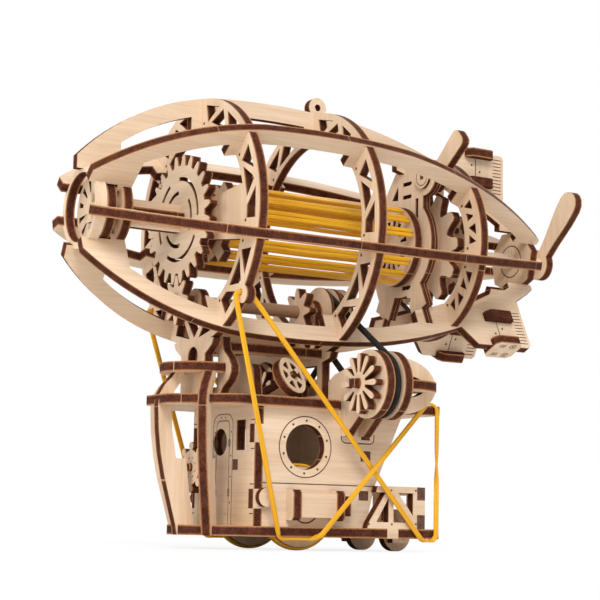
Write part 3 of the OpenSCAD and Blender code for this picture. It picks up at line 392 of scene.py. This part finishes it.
def grid_faces(nu, nv, wrap_u, wrap_v):
    """Corner numbers of the quads of a grid, closed on itself along either side if asked."""
    u = np.arange(nu if wrap_u else nu - 1)[:, None]
    v = np.arange(nv if wrap_v else nv - 1)[None, :]
    u2, v2 = (u + 1) % nu, (v + 1) % nv
    quads = np.broadcast_arrays(u * nv + v, u2 * nv + v, u2 * nv + v2, u * nv + v2)
    places = np.broadcast_arrays(u, v, u + 1, v, u + 1, v + 1, u, v + 1)
    uv = np.stack(places, -1).reshape(-1, 2) / [max(nu - 1, 1), max(nv - 1, 1)]
    return np.stack(quads, -1).reshape(-1, 4), uv


def surface(name, grids, material, wrap_u=False, wrap_v=False):
    """One object from point grids: each grid is a surface over two parameters, joined point to point."""
    points, quads, uvs, start = [], [], [], 0
    for grid in grids:
        faces, uv = grid_faces(*grid.shape[:2], wrap_u, wrap_v)
        points.append(grid.reshape(-1, 3))
        quads.append(faces + start)
        uvs.append(uv)
        start += grid.shape[0] * grid.shape[1]
    points, quads, uvs = np.concatenate(points), np.concatenate(quads), np.concatenate(uvs)
    mesh = bpy.data.meshes.new(name)
    mesh.vertices.add(len(points))
    mesh.vertices.foreach_set("co", (points * MM).reshape(-1))
    mesh.loops.add(quads.size)
    mesh.loops.foreach_set("vertex_index", quads.reshape(-1).astype(np.int32))
    mesh.polygons.add(len(quads))
    mesh.polygons.foreach_set("loop_start", np.arange(0, quads.size, 4, dtype=np.int32))
    mesh.polygons.foreach_set("use_smooth", np.ones(len(quads), bool))
    layer = mesh.uv_layers.new(name="strand")
    layer.data.foreach_set("uv", uvs.reshape(-1))
    mesh.update(calc_edges=True)
    mesh.materials.append(material)
    piece = bpy.data.objects.new(name, mesh)
    bpy.context.scene.collection.objects.link(piece)
    return piece


def rounded_profile(width, height, power=3.5, count=16):
    """Superellipse: half the width times the cosine and half the height times the sine, each to 2/power."""
    turn = 2 * np.pi * np.arange(count) / count
    c, s = np.cos(turn), np.sin(turn)
    x = width / 2 * np.sign(c) * np.abs(c) ** (2 / power)
    y = height / 2 * np.sign(s) * np.abs(s) ** (2 / power)
    return np.column_stack([x, y])


def swept(path, side, lift, profile, size=None):
    """A profile carried along a path: path point plus profile times the side and lift directions there."""
    size = np.ones(len(path)) if size is None else size
    flat = side[:, None] * profile[None, :, :1] + lift[:, None] * profile[None, :, 1:]
    return path[:, None] + size[:, None, None] * flat


def closing(count):
    """1 along a strand and falling to 0 over its first and last two points, which closes its ends."""
    t = np.arange(count)
    return np.clip(np.minimum(t, count - 1 - t) / 2, 0, 1) ** 0.5


def unit(vectors):
    """Vectors scaled to a length of 1."""
    return vectors / np.linalg.norm(vectors, axis=-1, keepdims=True)


def smoothed(values, width):
    """Running mean with a bell of the given width in samples, the ends held."""
    reach = int(3 * width)
    bell = np.exp(-0.5 * (np.arange(-reach, reach + 1) / width) ** 2)
    padded = np.pad(values, [(reach, reach)] + [(0, 0)] * (values.ndim - 1), mode="edge")
    columns = padded.reshape(len(padded), -1).T
    done = [np.convolve(column, bell / bell.sum(), "valid") for column in columns]
    return np.array(done).T.reshape(values.shape)


# Rubber bands of the motor


def motor_strands():
    """Thin strands round the axis: each point is (x, radius, angle), with a little sway along x."""
    radius, width, strands_per_band = 12.7, 2.8, 2
    turns = np.radians([31.5, 54.5, 78, 120.5, 142.5, 163.5, 211.5, 234.5, 256, 295.5, 318.5, 343.5])
    front_x, rear_x, count = -13.9 - X_MID, 52.2 - X_MID, 90
    x = np.linspace(front_x, rear_x, count)
    t = np.linspace(0, 1, count)
    axis = np.column_stack([x, 0 * x, 0 * x + AXIS_Z])
    profile = rounded_profile(1.38, 0.92)
    ones = np.ones((count, 1))
    grids = []
    for k, angle in enumerate(np.repeat(turns, strands_per_band)):
        sway = 0.12 * np.sin(np.pi * t) * np.sin(2 * np.pi * (1.5 * t + 0.37 * k))
        shift = (k % strands_per_band - 0.5) * width / strands_per_band + sway
        outward = np.array([0, -math.sin(angle), math.cos(angle)])
        tangent = np.array([0, math.cos(angle), math.sin(angle)])
        rise = radius + 0.06 * np.sin(2 * np.pi * (t + 0.29 * k))
        path = axis + rise[:, None] * outward + shift[:, None] * tangent
        grids.append(swept(path, ones * tangent, ones * outward, profile, closing(count)))
    piece = surface("motor_strands", grids, yellow_band, wrap_v=True)
    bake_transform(piece)
    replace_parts(piece, "motor_bands")


motor_strands()


# Rigging, belts and tyres


def rigging_band(name, side_sign):
    """One flat band: corner points joined by straight runs, rounded, its flat side turning under the deck."""
    y, far, tuck, low, high = 22.7, 25.6, 21.9, 3.45, 45.75
    hook_y, hook_z = 28.2, 73.9
    route = np.array(
        [
            [-18.7, hook_y, hook_z, 0], [-21.3, hook_y, hook_z, 0], [-21.9, hook_y, hook_z - 0.9, 0],
            [-2.3, y, 4.4, 0], [-1.2, tuck, low, 90], [9.4, tuck, low, 90], [10.6, far, 4.6, 0],
            [48.0, far, 44.9, 0], [49.4, tuck, high, 90], [53.4, tuck, high, 90], [54.5, y, 44.6, 0],
            [54.5, y, 30, 20], [54.5, y, 18, 160], [54.5, y, 4.6, 180], [53.6, tuck, low, 90],
            [50.0, tuck, low, 90], [48.4, y, 4.4, 0], [-16.1, hook_y, hook_z - 0.9, 0],
            [-16.6, hook_y, hook_z, 0], [-18.7, hook_y, hook_z, 0],
        ]
    )
    steps = np.concatenate([[0], np.cumsum(np.linalg.norm(np.diff(route[:, :3], axis=0), axis=1))])
    s = np.arange(0, steps[-1], 0.35)
    points = np.column_stack([np.interp(s, steps, route[:, k]) for k in range(4)])
    path = smoothed(points[:, :3] * [1, -1, 1] - [X_MID, 0, 0], 2)
    twist = np.radians(smoothed(points[:, 3:], 5)[:, 0])[:, None]
    ahead = unit(np.gradient(path, axis=0))
    across = unit(np.cross(ahead, [0, 1.0, 0]))
    out = np.cross(across, ahead)
    side = across * np.cos(twist) + out * np.sin(twist)
    lift = out * np.cos(twist) - across * np.sin(twist)
    grid = swept(path, side, lift, rounded_profile(1.56, 0.8), closing(len(path)))
    piece = surface(name, [grid * [1, side_sign, 1]], yellow_band, wrap_v=True)
    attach(piece, "frame")
    return piece


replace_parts(rigging_band("rigging_port", 1), "rigging_bands")
rigging_band("rigging_starboard", -1)


def belt_loop(name, x, side_sign):
    """A round cord on the outline of two circles: half turns round both pulleys joined by straight runs."""
    drive, engine = np.array([0, 73.83]), np.array([-33.0, 49.5])
    drive_r, engine_r, cord_r = 6.8, 9.2, 0.95
    gap = engine - drive
    length = np.linalg.norm(gap)
    heading = math.atan2(gap[1], gap[0])
    lean = math.acos((drive_r - engine_r) / length)
    a = np.linspace(heading + lean, heading + 2 * np.pi - lean, 60)
    b = np.linspace(heading - lean, heading + lean, 60)
    arc_a = drive + drive_r * np.column_stack([np.cos(a), np.sin(a)])
    arc_b = engine + engine_r * np.column_stack([np.cos(b), np.sin(b)])
    share = np.linspace(0, 1, 42)[1:-1, None]
    run_a = arc_a[-1] + share * (arc_b[0] - arc_a[-1])
    run_b = arc_b[-1] + share * (arc_a[0] - arc_b[-1])
    flat = np.concatenate([arc_a, run_a, arc_b, run_b])
    path = np.column_stack([np.full(len(flat), x - X_MID), flat * [side_sign, 1]])
    ahead = unit(np.roll(path, -1, axis=0) - np.roll(path, 1, axis=0))
    along = np.ones((len(path), 1)) * [1.0, 0, 0]
    grid = swept(path, along, np.cross(ahead, along), rounded_profile(2 * cord_r, 2 * cord_r, 2))
    piece = surface(name, [grid], black_belt, True, True)
    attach(piece, "frame")
    return piece


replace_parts(belt_loop("belt_port", 25.9, 1), "belts")
belt_loop("belt_starboard", 30.1, -1)


def tyres():
    """Rounded rings: a superellipse section carried round the wheel's rim."""
    axle = np.array([AXLE_X - X_MID, 0, AXLE_Z])
    turn = np.linspace(0, 2 * np.pi, 120, endpoint=False)
    ring = np.column_stack([np.cos(turn), 0 * turn, np.sin(turn)])
    along = np.ones((len(turn), 1)) * [0, 1.0, 0]
    section = rounded_profile(2.4, 0.98)
    middle_r, wheel_y = 12.5, 14.2
    grids = [swept(axle + middle_r * ring + [0, y, 0], along, ring, section) for y in (-wheel_y, wheel_y)]
    piece = surface("tyre_rings", grids, yellow_tyre, True, True)
    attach(piece, "main_axle")
    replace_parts(piece, "main_tyres")


tyres()


# Engraved lines and dots and the dark ends of tenons, drawn this far above the sheets
LIFT = 0.03


def line2d(points, width=0.3):
    """Ribbon: the drawn line moved half a width to each side along its own normals."""
    points = np.asarray(points, float)
    ahead = unit(np.gradient(points, axis=0))
    normal = np.column_stack([-ahead[:, 1], ahead[:, 0]]) * width / 2
    return np.stack([points - normal, points + normal], 1)


def arc2d(x, y, r, start=0, end=360, width=0.3):
    """Ribbon along a circle, between two angles in degrees."""
    turn = np.radians(np.linspace(start, end, 73))
    return line2d(np.column_stack([x + r * np.cos(turn), y + r * np.sin(turn)]), width)


def disc2d(x, y, r):
    """Disc: a radius of 0 or r times the cosine and sine of the angle."""
    turn = np.linspace(0, 2 * np.pi, 19)[:, None, None]
    radius = np.array([0, r])[None, :, None]
    return [x, y] + radius * np.concatenate([np.cos(turn), np.sin(turn)], 2)


def box2d(x0, x1, y0, y1):
    """Rectangle between two values of each drawn number."""
    return np.array([[[x0, y0], [x0, y1]], [[x1, y0], [x1, y1]]], float)


def on_plane(drawing, origin, across, up):
    """Drawing on a plane: the origin plus the two drawn numbers times the plane's two directions."""
    return np.asarray(origin) + drawing[..., :1] * np.asarray(across) + drawing[..., 1:] * np.asarray(up)


def both_sides(drawing, distance):
    """The same drawing on the port and the starboard sheet at a distance from the middle plane."""
    return [on_plane(drawing, (-X_MID, s * (distance + LIFT), 0), (1, 0, 0), (0, 0, 1)) for s in (-1, 1)]


def on_front(drawing):
    """Drawing on the front wall, and its mirror image across the middle plane."""
    return [on_plane(drawing, (FRONT_WALL_X - LIFT - X_MID, 0, 0), (0, s, 0), (0, 0, 1)) for s in (-1, 1)]


def on_fins(drawing, distance, outside=False):
    """Drawing on both faces of the three fins, or on the outer faces of their clips."""
    grids = []
    for turn in 2 * np.pi * np.array([0, 3, 4]) / 7:
        outward, sideways = np.array([[0, -np.sin(turn), np.cos(turn)], [0, np.cos(turn), np.sin(turn)]])
        for s in (-1, 1):
            away, up = (outward, s * sideways) if outside else (s * sideways, outward)
            grids.append(on_plane(drawing, [-X_MID, 0, AXIS_Z] + (distance + LIFT) * away, (1, 0, 0), up))
    return grids


def wall_lines():
    """Lines and dots on the gondola: porthole frame, wall line, engine patch, door and truss joints."""
    port_x, port_z = 8.6, 30.7
    turn = np.radians(2 + 36 * np.arange(10))
    frame_r, rivet_r = 9.1, 7.86
    grids = both_sides(arc2d(port_x, port_z, frame_r, width=0.34), WALL_Y)
    for x, z in zip(port_x + rivet_r * np.sin(turn), port_z + rivet_r * np.cos(turn)):
        grids += both_sides(disc2d(x, z, 0.38), WALL_Y)
    grids += both_sides(line2d([[-6, 19.7], [15, 19.7], [36, 19.7]]), WALL_Y)
    patch = [
        [21.35, 42.1], [21.35, 33.8], [21.7, 33], [22.6, 32.5],
        [32.2, 32.5], [33, 33], [33.3, 33.8], [33.3, 35.4],
    ]
    grids += both_sides(line2d(patch, 0.36), WALL_Y)
    grids += both_sides(arc2d(AXLE_X, AXLE_Z, 4.8, -155, -25, 0.45), WALL_Y)
    for x, z in ((29.9, 8.3), (38.3, 8.3), (47.3, 8.5), (38, 18.6), (47.2, 18.7)):
        grids += both_sides(disc2d(x, z, 0.34), DECK_Y)
    outer = [[0, 40.4], [2.3, 40.4], [3.6, 40.2], [4.7, 39.6], [5.6, 38.6], [6, 37.2], [6, 22], [6, 7.1]]
    inner = [[0, 38.4], [2.1, 38.4], [3, 38.2], [3.7, 37.6], [4, 36.6], [4, 22], [4.1, 7.1]]
    for drawn in (outer, inner):
        grids += on_front(line2d(drawn))
    for y, z in ((5, 35), (5, 27.8), (5, 21.5), (5, 13.8), (1.2, 39.4)):
        grids += on_front(disc2d(y, z, 0.32))
    for z in (31.7, 16.8):
        hinge = [[4, -1.3], [4.45, -0.7], [4.45, 0.7], [4, 1.3], [3.55, 0.7], [3.55, -0.7], [4, -1.3]]
        grids += on_front(line2d(np.add(hinge, [0, z])))
    for z in (38.1, 29.6, 19.2, 10.6):
        grids += on_front(line2d([[16.8, z], [19, z]]))
    return grids


def tail_lines():
    """Lines on the stern: hinge, dots and ticks on the fins, marks on their clips, circles round the axis."""
    fin_y, clip_top, bulkhead_x, plate_x = PLY / 2, 36.6, 55, 102
    grids = on_fins(line2d([[85.4, 26.6], [85.4, 33.5]]), fin_y)
    for x, r in ((83.8, 31.2), (87.2, 29.2)):
        grids += on_fins(disc2d(x, r, 0.4), fin_y)
    for r in np.linspace(22.5, 34.2, 11):
        grids += on_fins(line2d([[92.8, r], [96.3, r]]), fin_y)
    marks = [line2d([[83, y], [85.4, y]]) for y in (1.9, 2.5, 3.1)]
    for drawn in marks + [arc2d(88.4, 2.6, 1.1), disc2d(88.4, 2.6, 0.45)]:
        grids += on_fins(drawn, clip_top, True)
    pin_y, pin_z = -12.6, AXIS_Z + 21.6
    pin = (bulkhead_x - LIFT - X_MID, pin_y, pin_z)
    for drawn in (arc2d(0, 0, 2.9), box2d(-0.9, 0.9, -0.9, 0.9)):
        grids.append(on_plane(drawn, pin, (0, 1, 0), (0, 0, 1)))
    hub = (plate_x - LIFT - X_MID, 0, AXIS_Z)
    grids.append(on_plane(arc2d(0, 0, 5.4, width=0.4), hub, (0, 1, 0), (0, 0, 1)))
    return grids


def tenon_ends():
    """Dark ends of tenons in the side walls, the stern truss and the front wall."""
    grids = []
    for x0, x1, z0, z1 in ((28.6, 31.8, 33.6, 36.6), (28.5, 32.1, 27.1, 30.3), (28, 31.5, 15.3, 18.2)):
        grids += both_sides(box2d(x0, x1, z0, z1), WALL_Y)
    for z0, z1 in ((7, 11.3), (15.8, 19.8)):
        grids += both_sides(box2d(47.7, 50.7, z0, z1), DECK_Y)
    return grids + on_front(box2d(6.3, 9.4, 23.5, 26.7))


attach(surface("engraved_lines", wall_lines() + tail_lines(), engraved), "frame")
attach(surface("tenon_ends", tenon_ends(), tenon_end), "frame")


# Stage, light and camera


def add_floor():
    """A pale floor that keeps the shadow under the model and fades to white further out."""
    half = 4.0
    mesh = bpy.data.meshes.new("floor")
    corners = [(-half, -half, 0), (half, -half, 0), (half, half, 0), (-half, half, 0)]
    mesh.from_pydata(corners, [], [(0, 1, 2, 3)])
    floor = bpy.data.objects.new("floor", mesh)
    bpy.context.scene.collection.objects.link(floor)
    material, tree, shader, add = new_material("pale_floor")
    shader.inputs["Base Color"].default_value = (0.92, 0.92, 0.92, 1)
    shader.inputs["Roughness"].default_value = 0.9
    glow = add("ShaderNodeEmission", {"Color": (1, 1, 1, 1), "Strength": 1.0})
    place = add("ShaderNodeTexCoord").outputs["Object"]
    away = add("ShaderNodeVectorMath", {0: place}, operation="LENGTH").outputs["Value"]
    fade = add("ShaderNodeMapRange", {"Value": away, "From Min": 0.10, "From Max": 0.34, "To Min": 0.82})
    shadow = add("ShaderNodeMixShader", {0: fade.outputs["Result"], 1: shader.outputs["BSDF"]})
    tree.links.new(glow.outputs["Emission"], shadow.inputs[2])
    rays = add("ShaderNodeLightPath")
    seen = add("ShaderNodeMixShader", {0: rays.outputs["Is Camera Ray"], 1: shader.outputs["BSDF"]})
    tree.links.new(shadow.outputs["Shader"], seen.inputs[2])
    output = next(n for n in tree.nodes if n.type == "OUTPUT_MATERIAL")
    tree.links.new(seen.outputs["Shader"], output.inputs["Surface"])
    mesh.materials.append(material)


def add_world():
    """White for the camera and in reflections, and a softer fill for the rest of the light."""
    world = bpy.data.worlds.new("studio")
    bpy.context.scene.world = world
    world.use_nodes = True
    tree = world.node_tree
    tree.nodes.clear()
    output = tree.nodes.new("ShaderNodeOutputWorld")
    rays = tree.nodes.new("ShaderNodeLightPath")
    either = tree.nodes.new("ShaderNodeMath")
    either.operation = "MAXIMUM"
    tree.links.new(rays.outputs["Is Camera Ray"], either.inputs[0])
    tree.links.new(rays.outputs["Is Glossy Ray"], either.inputs[1])
    fill = tree.nodes.new("ShaderNodeBackground")
    fill.inputs["Color"].default_value = (0.95, 0.97, 1.0, 1)
    fill.inputs["Strength"].default_value = 0.55
    white = tree.nodes.new("ShaderNodeBackground")
    white.inputs["Color"].default_value = (1, 1, 1, 1)
    white.inputs["Strength"].default_value = 1.0
    mix = tree.nodes.new("ShaderNodeMixShader")
    tree.links.new(either.outputs[0], mix.inputs[0])
    tree.links.new(fill.outputs[0], mix.inputs[1])
    tree.links.new(white.outputs[0], mix.inputs[2])
    tree.links.new(mix.outputs[0], output.inputs["Surface"])


def add_lamp(name, place, target, size, power):
    """A round area lamp at a place, aimed at a target."""
    light = bpy.data.lights.new(name, "AREA")
    light.shape = "DISK"
    light.size = size
    light.energy = power
    lamp = bpy.data.objects.new(name, light)
    lamp.location = place
    lamp.rotation_euler = (Vector(target) - Vector(place)).to_track_quat("-Z", "Y").to_euler()
    bpy.context.scene.collection.objects.link(lamp)


def add_camera():
    """A camera looking slightly up at the airship from ahead of its port side."""
    azimuth = math.radians(-31.68)
    elevation = math.radians(-7.69)
    roll = math.radians(1.15)
    distance = 524.3
    target = np.array([-10.35, 0.0, 77.8])
    focal_pixels = 1664.1
    image_pixels = 600
    flat = math.cos(elevation)
    back = np.array([math.sin(azimuth) * flat, -math.cos(azimuth) * flat, math.sin(elevation)])
    right = np.array([math.cos(azimuth), math.sin(azimuth), 0.0])
    up = np.cross(back, right)
    turned_right = right * math.cos(roll) + up * math.sin(roll)
    turned_up = up * math.cos(roll) - right * math.sin(roll)
    place = (target + distance * back) * MM
    data = bpy.data.cameras.new("camera")
    data.sensor_width = 36
    data.lens = data.sensor_width * focal_pixels / image_pixels
    data.clip_start = 0.01
    camera = bpy.data.objects.new("camera", data)
    axes = np.column_stack([turned_right, turned_up, back])
    camera.matrix_world = Matrix.Translation(Vector(place)) @ Matrix(axes.tolist()).to_4x4()
    bpy.context.scene.collection.objects.link(camera)
    bpy.context.scene.camera = camera


add_floor()
add_world()
centre = (-0.01, 0, 0.08)
add_lamp("key", (-0.45, -0.75, 0.75), centre, 0.55, 9.0)
add_lamp("front_fill", (-0.9, -0.15, 0.25), centre, 0.7, 2.6)
add_lamp("rear_rim", (0.7, 0.5, 0.6), centre, 0.6, 4.5)
add_camera()
bpy.context.scene.view_settings.view_transform = "Standard"
